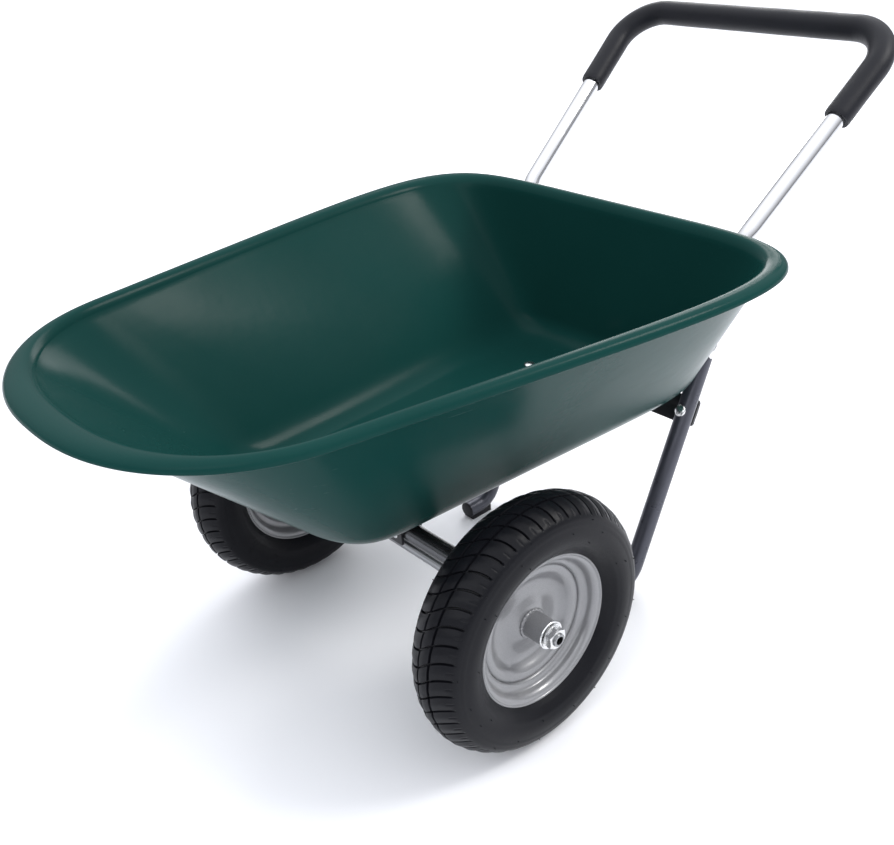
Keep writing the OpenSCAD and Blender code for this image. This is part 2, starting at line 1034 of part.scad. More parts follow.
tray();
handle_tube();
grip();
rail_left();
rail_right();
rail_plugs();
leg_left();
leg_right();
leg_plugs();
foot_pads();
rear_brace();
hanger_front();
hanger_rear();
axle_beam();
beam_plugs();
axle_plate_left();
axle_plate_right();
axle_tube();
axle_spacers();
axle_washers();
axle_nuts();
on_wheel() tyre();  // tyre_left
on_right_wheel() tyre();  // tyre_right
on_wheel() inner_tube();  // inner_tube_left
on_right_wheel() inner_tube();  // inner_tube_right
on_wheel() rim();  // rim_left
on_right_wheel() rim();  // rim_right
on_wheel() hub();  // hub_left
on_right_wheel() hub();  // hub_right
on_wheel() outer_bearing();  // outer_bearing_left
on_right_wheel() outer_bearing();  // outer_bearing_right
on_wheel() inner_bearing();  // inner_bearing_left
on_right_wheel() inner_bearing();  // inner_bearing_right
on_wheel() valve();  // valve_left
on_right_wheel() valve();  // valve_right
on_wheel() valve_cap();  // valve_cap_left
on_right_wheel() valve_cap();  // valve_cap_right
tray_bolts();
tray_washers();
tray_nuts();
beam_bolts();
beam_nuts();
handle_bolts();
handle_nuts();
leg_bolts();
leg_nuts();
saddle_spacers();
brace_bolts();
brace_nuts();
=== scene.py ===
"""The looks of a two-wheel garden cart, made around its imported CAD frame.

Lengths are in metres, in the frame's own axes: X forward, Y left, Z up, with the ground at z = 0.
"""
import json
import math

import bmesh
import bpy
import numpy as np
from mathutils import Matrix, Vector


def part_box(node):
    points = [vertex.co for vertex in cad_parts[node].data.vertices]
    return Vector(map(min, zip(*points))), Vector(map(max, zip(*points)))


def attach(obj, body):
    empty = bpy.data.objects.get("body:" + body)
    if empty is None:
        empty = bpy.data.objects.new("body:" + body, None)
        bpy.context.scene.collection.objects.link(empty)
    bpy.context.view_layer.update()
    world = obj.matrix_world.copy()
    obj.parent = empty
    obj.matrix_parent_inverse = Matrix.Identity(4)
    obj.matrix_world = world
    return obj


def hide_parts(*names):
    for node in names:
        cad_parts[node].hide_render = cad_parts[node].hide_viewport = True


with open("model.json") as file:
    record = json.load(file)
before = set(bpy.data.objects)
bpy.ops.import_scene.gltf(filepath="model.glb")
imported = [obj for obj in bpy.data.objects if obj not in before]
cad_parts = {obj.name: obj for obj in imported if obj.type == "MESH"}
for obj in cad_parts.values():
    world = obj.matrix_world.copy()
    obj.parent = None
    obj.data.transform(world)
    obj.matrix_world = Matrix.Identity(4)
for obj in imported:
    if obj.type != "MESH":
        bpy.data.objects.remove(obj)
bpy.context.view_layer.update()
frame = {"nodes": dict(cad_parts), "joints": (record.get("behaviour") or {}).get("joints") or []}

MM = 0.001
SIDES = {"left": 1, "right": -1}
TURN = 2 * math.pi


# Camera ------------------------------------------------------------------

def add_camera():
    """The camera stands ahead of the cart, to its left and above it."""
    place = Vector((0.852142, 0.962255, 0.981364))
    right = Vector((-0.7507, 0.6572, -0.0677)).normalized()
    forward = Vector((-0.5518, -0.6801, -0.4828)).normalized()
    up = right.cross(forward)
    data = bpy.data.cameras.new("camera")
    data.lens = 43.02
    data.sensor_width = 36
    camera = bpy.data.objects.new("camera", data)
    camera.matrix_world = Matrix((
        (right.x, up.x, -forward.x, place.x),
        (right.y, up.y, -forward.y, place.y),
        (right.z, up.z, -forward.z, place.z),
        (0, 0, 0, 1),
    ))
    bpy.context.scene.collection.objects.link(camera)
    bpy.context.scene.camera = camera


# Materials ---------------------------------------------------------------

class Paint:
    """A node material. Constants sit on the shader's own sockets, and the linked nodes hold the detail."""

    def __init__(self, name, **sockets):
        self.material = bpy.data.materials.new(name)
        self.material.use_nodes = True
        self.tree = self.material.node_tree
        self.shader = self.tree.nodes["Principled BSDF"]
        for socket, value in sockets.items():
            self.shader.inputs[socket.replace("_", " ")].default_value = value
        self.place = self.tree.nodes.new("ShaderNodeTexCoord").outputs["Object"]

    def link(self, source, target):
        self.tree.links.new(source, target)

    def run(self):
        """Where a point is on its straightened tube, or (radius, height) on a turned piece."""
        node = self.tree.nodes.new("ShaderNodeAttribute")
        node.attribute_name = "run"
        return node.outputs["Vector"]

    def stretched(self, vector, x, y, z):
        node = self.tree.nodes.new("ShaderNodeMapping")
        node.inputs["Scale"].default_value = (x, y, z)
        self.link(vector, node.inputs["Vector"])
        return node.outputs["Vector"]

    def noise(self, scale, detail=3, vector=None, rough=0.5):
        node = self.tree.nodes.new("ShaderNodeTexNoise")
        node.inputs["Scale"].default_value = scale
        node.inputs["Detail"].default_value = detail
        node.inputs["Roughness"].default_value = rough
        self.link(vector or self.place, node.inputs["Vector"])
        return node.outputs["Fac"]

    def cells(self, scale, output="Distance"):
        node = self.tree.nodes.new("ShaderNodeTexVoronoi")
        node.inputs["Scale"].default_value = scale
        self.link(self.place, node.inputs["Vector"])
        return node.outputs[output]

    def span(self, value, low, high, to_low=0.0, to_high=1.0):
        node = self.tree.nodes.new("ShaderNodeMapRange")
        node.inputs["From Min"].default_value = low
        node.inputs["From Max"].default_value = high
        node.inputs["To Min"].default_value = to_low
        node.inputs["To Max"].default_value = to_high
        self.link(value, node.inputs["Value"])
        return node.outputs["Result"]

    def maths(self, operation, a, b):
        node = self.tree.nodes.new("ShaderNodeMath")
        node.operation = operation
        for value, socket in zip((a, b), node.inputs):
            if isinstance(value, (int, float)):
                socket.default_value = value
            else:
                self.link(value, socket)
        return node.outputs["Value"]

    def two_tone(self, share, first, second):
        node = self.tree.nodes.new("ShaderNodeMix")
        node.data_type = "RGBA"
        self.link(share, node.inputs["Factor"])
        for value, socket in ((first, node.inputs[6]), (second, node.inputs[7])):
            if isinstance(value, tuple):
                socket.default_value = (*value, 1)
            else:
                self.link(value, socket)
        return node.outputs[2]

    def colour(self, value):
        self.link(value, self.shader.inputs["Base Color"])

    def roughness(self, value):
        self.link(value, self.shader.inputs["Roughness"])

    def bump(self, *layers):
        """Each layer is (height, its full depth in metres)."""
        below = None
        for height, depth in layers:
            node = self.tree.nodes.new("ShaderNodeBump")
            node.inputs["Distance"].default_value = depth
            self.link(height, node.inputs["Height"])
            if below:
                self.link(below, node.inputs["Normal"])
            below = node.outputs["Normal"]
        self.link(below, self.shader.inputs["Normal"])


def tray_plastic():
    paint = Paint("tray_plastic", IOR=1.13)
    drift = paint.noise(5, 4)
    specks = paint.span(paint.noise(900, 2), 0.62, 0.75)
    green = paint.two_tone(drift, (0.0046, 0.035, 0.0312), (0.0070, 0.0455, 0.0408))
    paint.colour(paint.two_tone(specks, green, (0.008, 0.050, 0.045)))
    scuffs = paint.span(paint.noise(1, 6, paint.stretched(paint.place, 14, 60, 160), 0.7), 0.6, 0.72)
    haze = paint.span(paint.noise(9, 5), 0.3, 0.7, 0.17, 0.26)
    paint.roughness(paint.maths("ADD", haze, paint.maths("MULTIPLY", scuffs, 0.05)))
    paint.bump(
        (paint.noise(55, 2), 0.12 * MM),
        (paint.noise(1600, 2), 0.012 * MM),
        (scuffs, 0.01 * MM),
    )
    return paint.material


def polished_steel():
    paint = Paint("polished_steel", Metallic=1.0)
    drawn = paint.noise(1, 5, paint.stretched(paint.run(), 6, 2600, 2600), 0.65)
    smears = paint.noise(26, 5)
    paint.colour(paint.two_tone(smears, (0.56, 0.565, 0.58), (0.66, 0.665, 0.675)))
    paint.roughness(paint.maths(
        "ADD", paint.span(drawn, 0.3, 0.7, 0.07, 0.15), paint.span(smears, 0.55, 0.75, 0.0, 0.06)
    ))
    paint.bump((drawn, 0.01 * MM), (paint.noise(420, 3), 0.006 * MM))
    return paint.material


def grip_foam():
    paint = Paint("grip_foam", IOR=1.3, Sheen_Weight=0.03, Sheen_Roughness=0.5)
    pores = paint.cells(1500)
    clouds = paint.noise(30, 4)
    base = paint.two_tone(clouds, (0.0035, 0.004, 0.007), (0.007, 0.0078, 0.012))
    # The pore centres, which the bump below sinks into dimples, are painted darker: painted shade in the
    # pores.
    paint.colour(paint.two_tone(paint.span(pores, 0.0, 0.35, 0.55, 0.0), base, (0.0015, 0.0015, 0.002)))
    paint.roughness(paint.span(clouds, 0.3, 0.7, 0.40, 0.5))
    paint.bump((paint.noise(160, 4), 0.08 * MM), (pores, 0.08 * MM))
    return paint.material


def powder_coat(name, dark, light, rough, metallic):
    """A baked powder coat: fine orange peel, with a little mottling in tone and gloss."""
    paint = Paint(name, Metallic=metallic, IOR=1.5, Coat_Weight=0.1, Coat_Roughness=0.2)
    mottle = paint.noise(38, 5)
    grain = paint.noise(2200, 2)
    tone = paint.two_tone(mottle, dark, light)
    paint.colour(paint.two_tone(paint.span(grain, 0.6, 0.72), tone, tuple(1.5 * c for c in light)))
    paint.roughness(paint.span(mottle, 0.3, 0.7, rough - 0.05, rough + 0.07))
    paint.bump((paint.noise(650, 2), 0.035 * MM), (grain, 0.012 * MM))
    return paint.material


def coated_beam():
    paint = Paint("coated_beam", Metallic=0.85, Coat_Weight=0.3, Coat_Roughness=0.1)
    drawn = paint.noise(1, 5, paint.stretched(paint.run(), 8, 1800, 1800), 0.6)
    clouds = paint.noise(24, 4)
    paint.colour(paint.two_tone(clouds, (0.062, 0.064, 0.069), (0.095, 0.098, 0.104)))
    paint.roughness(paint.span(drawn, 0.3, 0.7, 0.2, 0.32))
    paint.bump((drawn, 0.012 * MM), (paint.noise(500, 2), 0.015 * MM))
    return paint.material


def drawn_steel():
    paint = Paint("drawn_steel", Metallic=1.0)
    lines = paint.noise(1, 4, paint.stretched(paint.run(), 9000, 9000, 9000), 0.5)
    clouds = paint.noise(40, 5)
    paint.colour(paint.two_tone(clouds, (0.24, 0.245, 0.255), (0.34, 0.345, 0.355)))
    paint.roughness(paint.span(clouds, 0.3, 0.7, 0.24, 0.38))
    paint.bump((lines, 0.01 * MM), (paint.noise(700, 2), 0.01 * MM))
    return paint.material


def zinc_plate():
    paint = Paint("zinc_plate", Metallic=1.0)
    flakes = paint.cells(260, output="Color")
    lines = paint.noise(1, 3, paint.stretched(paint.run(), 7000, 7000, 7000), 0.5)
    clouds = paint.noise(70, 4)
    tone = paint.two_tone(clouds, (0.66, 0.67, 0.69), (0.80, 0.79, 0.76))
    paint.colour(paint.two_tone(paint.span(flakes, 0.0, 1.0, 0.0, 0.25), tone, (0.55, 0.58, 0.63)))
    paint.roughness(paint.span(clouds, 0.3, 0.7, 0.16, 0.32))
    paint.bump((lines, 0.012 * MM), (paint.noise(1100, 2), 0.008 * MM))
    return paint.material


def rim_enamel():
    paint = Paint("rim_enamel", Metallic=0.35, Coat_Weight=0.6, Coat_Roughness=0.08, Coat_IOR=1.5)
    flake = paint.span(paint.cells(3400, output="Color"), 0.2, 0.9)
    clouds = paint.noise(17, 5)
    tone = paint.two_tone(clouds, (0.165, 0.167, 0.175), (0.215, 0.217, 0.225))
    paint.colour(paint.two_tone(flake, tone, (0.27, 0.272, 0.28)))
    paint.roughness(paint.span(clouds, 0.3, 0.7, 0.28, 0.38))
    paint.bump((paint.noise(300, 2), 0.03 * MM), (paint.noise(60, 2), 0.08 * MM))
    return paint.material


def tyre_rubber():
    paint = Paint("tyre_rubber", IOR=1.22)
    bloom = paint.noise(12, 6, rough=0.6)
    grain = paint.noise(1500, 3)
    rings = paint.noise(1, 3, paint.stretched(paint.run(), 900, 900, 4), 0.6)
    base = paint.two_tone(bloom, (0.0038, 0.004, 0.0056), (0.0078, 0.0082, 0.0108))
    paint.colour(paint.two_tone(paint.span(grain, 0.58, 0.75), base, (0.018, 0.018, 0.021)))
    paint.roughness(paint.maths(
        "ADD", paint.span(bloom, 0.3, 0.7, 0.3, 0.42), paint.span(grain, 0.4, 0.6, -0.04, 0.06)
    ))
    paint.bump((rings, 0.05 * MM), (grain, 0.05 * MM), (paint.noise(140, 4), 0.1 * MM))
    return paint.material


def soft_rubber():
    paint = Paint("soft_rubber", IOR=1.25)
    clouds = paint.noise(60, 4)
    paint.colour(paint.two_tone(clouds, (0.010, 0.010, 0.012), (0.018, 0.018, 0.021)))
    paint.roughness(paint.span(clouds, 0.3, 0.7, 0.5, 0.68))
    paint.bump((paint.noise(1200, 3), 0.04 * MM))
    return paint.material


def moulded_black():
    paint = Paint("moulded_black", IOR=1.28)
    clouds = paint.noise(45, 4)
    leather = paint.cells(1300)
    paint.colour(paint.two_tone(clouds, (0.010, 0.010, 0.012), (0.018, 0.018, 0.021)))
    paint.roughness(paint.span(clouds, 0.3, 0.7, 0.42, 0.56))
    paint.bump((leather, 0.035 * MM), (paint.noise(260, 3), 0.03 * MM))
    return paint.material


def floor_white():
    paint = Paint("floor_white", IOR=1.4)
    clouds = paint.noise(1.5, 3)
    paint.colour(paint.two_tone(clouds, (0.93, 0.935, 0.96), (0.94, 0.945, 0.97)))
    paint.roughness(paint.span(clouds, 0.3, 0.7, 0.5, 0.6))
    return paint.material


PAINTS = {
    "tray_green": tray_plastic(),
    "polished_steel": polished_steel(),
    "grip_foam": grip_foam(),
    "frame_paint": powder_coat("gunmetal_coat", (0.050, 0.052, 0.066), (0.072, 0.075, 0.094), 0.3, 0.5),
    "bracket_paint": powder_coat("black_coat", (0.009, 0.009, 0.011), (0.015, 0.0155, 0.018), 0.4, 0.0),
    "beam_steel": coated_beam(),
    "axle_steel": drawn_steel(),
    "black_plastic": moulded_black(),
    "tyre_rubber": tyre_rubber(),
    "butyl_rubber": soft_rubber(),
    "rim_paint": rim_enamel(),
    "zinc_steel": zinc_plate(),
}


# Mesh helpers ------------------------------------------------------------

def grid_quads(rows, cols, close_rows=False):
    """Quads over a grid of points whose columns run round a closed loop."""
    last = rows if close_rows else rows - 1
    row, col = np.meshgrid(np.arange(last), np.arange(cols), indexing="ij")
    next_row, next_col = (row + 1) % rows, (col + 1) % cols
    corners = (row * cols + col, row * cols + next_col, next_row * cols + next_col, next_row * cols + col)
    return np.stack(corners, -1).reshape(-1, 4)


def piece(name, points, faces, slot, body, *nodes, run=None, sharp=35):
    """One finished piece: a clean closed mesh with its material, riding on its CAD body."""
    mesh = bpy.data.meshes.new(name)
    mesh.from_pydata(np.asarray(points, float).tolist(), [], [list(map(int, f)) for f in faces])
    if run is not None:
        attribute = mesh.attributes.new("run", "FLOAT_VECTOR", "POINT")
        attribute.data.foreach_set("vector", np.asarray(run, np.float32).ravel())
    tidy = bmesh.new()
    tidy.from_mesh(mesh)
    bmesh.ops.remove_doubles(tidy, verts=tidy.verts, dist=1e-6)
    bmesh.ops.recalc_face_normals(tidy, faces=tidy.faces)
    tidy.to_mesh(mesh)
    tidy.free()
    mesh.materials.append(PAINTS[slot])
    mesh.polygons.foreach_set("use_smooth", [True] * len(mesh.polygons))
    mesh.set_sharp_from_angle(angle=math.radians(sharp))
    made = bpy.data.objects.new(name, mesh)
    bpy.context.scene.collection.objects.link(made)
    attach(made, body)
    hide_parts(*nodes)
    return made


class Heap:
    """Points and faces of several closed solids that make one piece."""

    def __init__(self):
        self.points, self.runs, self.faces, self.count = [], [], [], 0

    def add(self, points, faces, run):
        self.points.append(points)
        self.runs.append(run)
        self.faces.extend((np.asarray(faces) + self.count).tolist())
        self.count += len(points)

    def piece(self, name, slot, body, *nodes, sharp=35):
        return piece(
            name, np.concatenate(self.points), self.faces, slot, body, *nodes,
            run=np.concatenate(self.runs), sharp=sharp,
        )


def unit(v):
    return np.asarray(v, float) / np.linalg.norm(v)


def beside(axis):
    """Two directions at right angles to axis and to each other."""
    helper = (0, 0, 1) if abs(axis[2]) < 0.9 else (1, 0, 0)
    first = unit(np.cross(helper, axis))
    return first, np.cross(axis, first)


def turned(centre, axis, radius, height, cols=96, closed=True):
    """A turned solid: (points, faces, run). Radius and height are lists, or grids of rows by columns."""
    axis = unit(axis)
    side, up = beside(axis)
    angle = np.arange(cols) * TURN / cols
    radius = np.broadcast_to(np.reshape(radius, (len(radius), -1)), (len(radius), cols))
    height = np.broadcast_to(np.reshape(height, (len(height), -1)), (len(height), cols))
    out = np.cos(angle)[:, None] * side + np.sin(angle)[:, None] * up
    points = np.asarray(centre) + radius[..., None] * out + height[..., None] * axis
    run = np.stack([radius, height, np.broadcast_to(0.02 * np.cos(angle), radius.shape)], -1)
    faces = grid_quads(len(radius), cols, close_rows=closed)
    return points.reshape(-1, 3), faces, run.reshape(-1, 3)


def smooth_line(points, step):
    """A centripetal Catmull-Rom curve through 2-D or 3-D points, resampled about every step."""
    p = np.asarray(points, float)
    p = np.vstack([2 * p[0] - p[1], p, 2 * p[-1] - p[-2]])
    knots = np.concatenate([[0], np.cumsum(np.linalg.norm(np.diff(p, axis=0), axis=1) ** 0.5)])
    fine = []
    for i in range(1, len(p) - 2):
        k = knots[i - 1:i + 3]
        t = np.linspace(k[1], k[2], 24, endpoint=False)[:, None]
        a = [(k[j + 1] - t) / (k[j + 1] - k[j]) * p[i - 1 + j]
             + (t - k[j]) / (k[j + 1] - k[j]) * p[i + j] for j in range(3)]
        b = [(k[j + 2] - t) / (k[j + 2] - k[j]) * a[j]
             + (t - k[j]) / (k[j + 2] - k[j]) * a[j + 1] for j in range(2)]
        fine.append((k[2] - t) / (k[2] - k[1]) * b[0] + (t - k[1]) / (k[2] - k[1]) * b[1])
    fine = np.vstack([*fine, p[-2:-1]])
    return resampled(fine, step)


def lengths(line):
    return np.concatenate([[0], np.cumsum(np.linalg.norm(np.diff(line, axis=0), axis=1))])


def resampled(line, step):
    along = lengths(line)
    at = np.linspace(0, along[-1], max(2, int(round(along[-1] / step)) + 1))
    return np.stack([np.interp(at, along, line[:, k]) for k in range(line.shape[1])], -1)


def rounded_route(points, bends, straight=0.02, arc=4):
    """A route through the points, turned at each inner one on that bend radius."""
    points = [np.asarray(p, float) for p in points]
    route = [points[0]]
    for before, corner, after, bend in zip(points, points[1:], points[2:], bends):
        u, w = unit(corner - before), unit(after - corner)
        angle = math.acos(np.clip(u @ w, -1, 1))
        cut = bend * math.tan(angle / 2)
        inward = unit(w - (w @ u) * u)
        start = corner - u * cut
        route.extend(between(route[-1], start, straight))
        for t in np.linspace(0, angle, max(3, int(math.degrees(angle) / arc)))[1:]:
            route.append(start + bend * (math.sin(t) * u + (1 - math.cos(t)) * inward))
    route.extend(between(route[-1], points[-1], straight))
    return np.array(route)


def between(start, end, step):
    """Points from just after start to end."""
    count = max(1, int(np.linalg.norm(end - start) / step))
    return [start + (end - start) * k / count for k in range(1, count + 1)]


def swept(route, radius, cols=56):
    """Rings round a route: (points as rows by columns, run). Radius is a number, a list or a grid."""
    ahead = np.gradient(route, axis=0)
    ahead /= np.linalg.norm(ahead, axis=1)[:, None]
    side, _ = beside(ahead[0])
    angle = np.arange(cols) * TURN / cols
    radius = np.asarray(radius, float) * np.ones(1)
    radius = np.broadcast_to(radius.reshape(len(radius), -1), (len(route), cols))
    along = lengths(route)
    points, run = [], []
    for here, way, s, r in zip(route, ahead, along, radius):
        side = unit(side - (side @ way) * way)
        up = np.cross(way, side)
        ring = r[:, None] * (np.cos(angle)[:, None] * side + np.sin(angle)[:, None] * up)
        points.append(here + ring)
        run.append(np.stack([np.full(cols, s), r * np.cos(angle), r * np.sin(angle)], -1))
    return np.array(points), np.array(run)


def tube(route, outer, inner, cols=56, edge=0.4 * MM):
    """A tube with open, slightly eased ends."""
    first, last = route[0], route[-1]
    ahead, behind = unit(route[1] - first), unit(route[-2] - last)
    route = np.vstack([first, first + ahead * edge, route[1:-1], last + behind * edge, last])
    eased = np.full(len(route), outer)
    eased[[0, -1]] -= edge
    skin, skin_run = swept(route, eased, cols)
    bore, bore_run = swept(route, inner, cols)
    points = np.concatenate([skin, bore[::-1]])
    run = np.concatenate([skin_run, bore_run[::-1]])
    return points.reshape(-1, 3), grid_quads(len(points), cols, close_rows=True), run.reshape(-1, 3)


def solids(node):
    """The points of each separate solid of a CAD node."""
    shape = bmesh.new()
    shape.from_mesh(frame["nodes"][node].data)
    bmesh.ops.remove_doubles(shape, verts=shape.verts, dist=1e-6)
    todo, found = set(shape.verts), []
    while todo:
        heap, group = [todo.pop()], []
        while heap:
            vert = heap.pop()
            group.append(vert.co[:])
            for edge in vert.link_edges:
                other = edge.other_vert(vert)
                if other in todo:
                    todo.remove(other)
                    heap.append(other)
        found.append(np.array(group))
    shape.free()
    return sorted(found, key=lambda group: tuple(np.round(group.mean(0), 4)))


class Round:
    """A round CAD solid's measures: axis, ends, outer and inner radius. Its wide end is the high one."""

    def __init__(self, points, axis=None):
        centre = (points.max(0) + points.min(0)) / 2
        if axis is None:
            values, vectors = np.linalg.eigh(np.cov((points - points.mean(0)).T))
            odd = 2 if values[2] - values[1] > values[1] - values[0] else 0
            axis, centre = vectors[:, odd], points.mean(0)
        self.axis = unit(axis)
        along = (points - centre) @ self.axis
        self.low, self.high = along.min(), along.max()
        across = points - centre - along[:, None] * self.axis
        self.centre = centre + across.mean(0)
        across = np.linalg.norm(across - across.mean(0), axis=1)
        self.outer, self.inner = across.max(), across.min()
        near_high = across[along > self.high - 0.2 * (self.high - self.low)].max()
        near_low = across[along < self.low + 0.2 * (self.high - self.low)].max()
        if near_low > near_high:
            self.axis = -self.axis
            self.low, self.high = -self.high, -self.low

    def end(self, at):
        return self.centre + self.axis * at


# Tray --------------------------------------------------------------------

NOSE_W, NOSE_L, TAPER, LIP_GAIN = 0.256, 0.193, 0.7, 1.1
NOSE_POWER, REAR_POWER = 2.35, 6
FLOOR_W, FLOOR_FRONT, FLOOR_L, FLOOR_NOSE_L, FLOOR_TAPER = 0.142, 0.265, 0.573, 0.100, 0.38
FLOOR_NOSE_POWER, FLOOR_REAR_POWER = 4.6, 12
FILLET_LEAN, FILLET_IN, FILLET_UP = 0.165, 0.15, 0.15
WALL = 0.004
CORNER_SHARE = 0.55      # how strongly the points gather where the rim turns


def egg(angle, front, rear, middle, width, powers, taper):
    """An egg-shaped outline: a blunt rear and a rounder nose, about middle."""
    cos, sin = np.cos(angle), np.sin(angle)
    power = np.where(cos >= 0, powers[0], powers[1])
    reach = np.where(cos >= 0, front - middle, middle - rear)
    x = middle + reach * np.sign(cos) * np.abs(cos) ** (2 / power)
    y = width * np.sign(sin) * np.abs(sin) ** (2 / power)
    return np.stack([x, y * (1 - taper * (x - middle))], -1)


class TrayShape:
    """The tray's outlines, at angles spread evenly along the rim."""

    def __init__(self, cols):
        low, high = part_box("tray")
        self.front, self.rear = high.x, low.x
        self.top, self.base = high.z, low.z
        fine = np.linspace(0, TURN, 20001)
        line = self.rim(0, fine)
        along = lengths(line)
        turning = np.unwrap(np.arctan2(*np.gradient(line, axis=0).T[::-1]))
        weight = along / along[-1] + CORNER_SHARE * np.abs(turning - turning[0]) / TURN
        at = (np.arange(cols) + 0.5) * weight[-1] / cols
        self.angle = np.interp(at, weight, fine)

    def rim(self, inset, angle=None):
        angle = self.angle if angle is None else angle
        inset = inset * (1 + LIP_GAIN * np.clip(np.cos(angle), 0, 1) ** 2)
        return egg(angle, self.front - inset, self.rear + inset, self.front - NOSE_L,
                   NOSE_W - inset, (NOSE_POWER, REAR_POWER), TAPER)

    def floor(self, inset):
        front = self.front - FLOOR_FRONT
        return egg(self.angle, front - inset, front - FLOOR_L + inset, front - FLOOR_NOSE_L,
                   FLOOR_W - inset, (FLOOR_NOSE_POWER, FLOOR_REAR_POWER), FLOOR_TAPER)

    def middle(self, z):
        return np.array([self.front - FLOOR_FRONT - FLOOR_NOSE_L - FILLET_LEAN, 0, z])

    def ring(self, inset, down):
        flat = self.rim(inset)
        return np.column_stack([flat, np.full(len(flat), self.top - down)])

    def fillet(self, share, inset, z, top):
        flat = self.floor(inset)
        corner = np.column_stack([flat, np.full(len(flat), z)])
        inner = corner + (self.middle(z) - corner) * FILLET_IN
        upper = corner + (top - corner) * FILLET_UP
        return inner * (1 - share) ** 2 + corner * 2 * share * (1 - share) + upper * share ** 2

    def side(self, inset, z, top, fillet_rows=14, wall_rows=26, floor_rows=9):
        """Rings from the middle of the floor, out over the fillet and up the wall to top."""
        inner = self.fillet(0, inset, z, top)
        rings = [inner + (self.middle(z) - inner) * (1 - k / floor_rows) for k in range(floor_rows)]
        rings += [self.fillet(k / fillet_rows, inset, z, top) for k in range(fillet_rows + 1)]
        start = rings[-1]
        return rings + [start + (top - start) * k / wall_rows for k in range(1, wall_rows)]


def lip_section():
    """The rolled lip, from the inside wall over the crest and round its lower edge: (inset, down)."""
    over = smooth_line([
        (20, 12), (18.9, 8.6), (17.2, 5.1), (15, 2.2), (12.2, 0.5), (9, 0), (5.8, 0.55), (3, 2.3),
        (1, 5.2), (0.1, 8.6), (0, 10.6), (0.5, 11.9), (1.6, 12.6), (2.8, 12.2), (3.4, 10.9),
        (3.7, 8.2), (5, 5.8), (7.2, 4.3), (9.9, 4.1), (12.6, 5.6), (14.4, 9), (15.5, 14),
    ], 0.75)
    return over * MM


def build_tray():
    shape = TrayShape(560)
    section = lip_section()
    inside = shape.side(WALL, shape.base + WALL, shape.ring(*section[0]))
    outside = shape.side(0, shape.base, shape.ring(*section[-1]))
    lip = [shape.ring(inset, down) for inset, down in section]
    rings = np.array(inside + lip + outside[::-1])
    faces = grid_quads(len(rings), rings.shape[1])
    piece("tray_moulding", rings.reshape(-1, 3), faces, "tray_green", "frame", "tray", sharp=50)


# Handle, rails and legs --------------------------------------------------

TUBE_WALL = 1.5 * MM
BAR_CORNER_Y, BAR_Z = 0.227, 0.709
DROP_TOP = np.array([-0.283, 0.196, 0.490])
DROP_FOOT_X = -0.266
HANDLE_BEND, DROP_BEND, RAIL_BEND, FOOT_BEND = 0.060, 0.050, 0.060, 0.036
RAIL_FRONT_X = 0.236
SOCKET_TOP, SOCKET_END = 0.035, 0.100
GRIP_ARM, GRIP_GAP, GRIP_EASE = 0.152, 0.35 * MM, 0.7 * MM
FOLD_PITCH, FOLD_DEPTH = 7.5 * MM, 0.06 * MM
TUBE_R, RAIL_R = 12.7 * MM, 14.3 * MM
FOOT_X, LEG_L, LEG_LEAN = -0.125, 0.363, math.radians(26.6)


def mirror_y(points):
    return np.asarray(points) * (1, -1, 1)


def drop_line():
    """The top and foot of the left drop, and its direction."""
    low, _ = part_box("rail_left")
    foot = np.array([DROP_FOOT_X, low.y + RAIL_R, low.z + RAIL_R])
    return DROP_TOP, foot, unit(foot - DROP_TOP)


def handle_corner():
    low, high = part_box("grip")
    return np.array([low.x + high.z - BAR_Z, BAR_CORNER_Y, BAR_Z])


def build_handle():
    top, _, down = drop_line()
    left = [handle_corner(), top, top + down * SOCKET_END]
    route = rounded_route(
        [*mirror_y(left[::-1]), *left], [DROP_BEND, HANDLE_BEND, HANDLE_BEND, DROP_BEND], arc=3
    )
    shape = tube(route, TUBE_R, TUBE_R - TUBE_WALL, cols=72)
    piece("handle_bent_tube", shape[0], shape[1], "polished_steel", "frame", "handle_tube", run=shape[2])


def grip_folds(route, cols):
    """The foam's shallow folds on the inner side of each bend, over rows by columns."""
    along = lengths(route)
    ahead = np.gradient(route, axis=0)
    ahead /= np.linalg.norm(ahead, axis=1)[:, None]
    inward = np.gradient(ahead, axis=0)
    bend = np.linalg.norm(inward, axis=1)
    rings, _ = swept(route, 1.0, cols)
    towards = np.einsum("rck,rk->rc", rings - route[:, None], inward / (bend + 1e-9)[:, None])
    gather = np.clip(towards, 0, 1) ** 2 * (bend / np.gradient(along) * HANDLE_BEND)[:, None]
    return FOLD_DEPTH * np.cos(along / FOLD_PITCH * TURN)[:, None] * gather


def build_grip():
    """A dense foam sleeve with cut ends, slightly gathered inside its two bends."""
    _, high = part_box("grip")
    corner = handle_corner()
    end = corner + unit(DROP_TOP - corner) * GRIP_ARM
    route = rounded_route([*mirror_y([end, corner]), corner, end], [HANDLE_BEND] * 2, straight=0.004, arc=2)
    cols = 96
    along = lengths(route)
    from_end = np.minimum(along, along[-1] - along)
    ease = GRIP_EASE * (1 - np.clip(from_end / GRIP_EASE, 0, 1)) ** 2
    swell = 0.12 * MM * np.sin(along * 61) * np.cos(along * 23 + 1)
    radius = high.z - BAR_Z - 0.4 * MM + (swell - ease)[:, None] + grip_folds(route, cols)
    skin, skin_run = swept(route, radius, cols)
    bore, bore_run = swept(route, TUBE_R + GRIP_GAP, cols)
    points = np.concatenate([skin, bore[::-1]])
    run = np.concatenate([skin_run, bore_run[::-1]]).reshape(-1, 3)
    made = piece("grip_sleeve", points.reshape(-1, 3), grid_quads(len(points), cols, True),
                 "grip_foam", "frame", "grip", run=run, sharp=40)


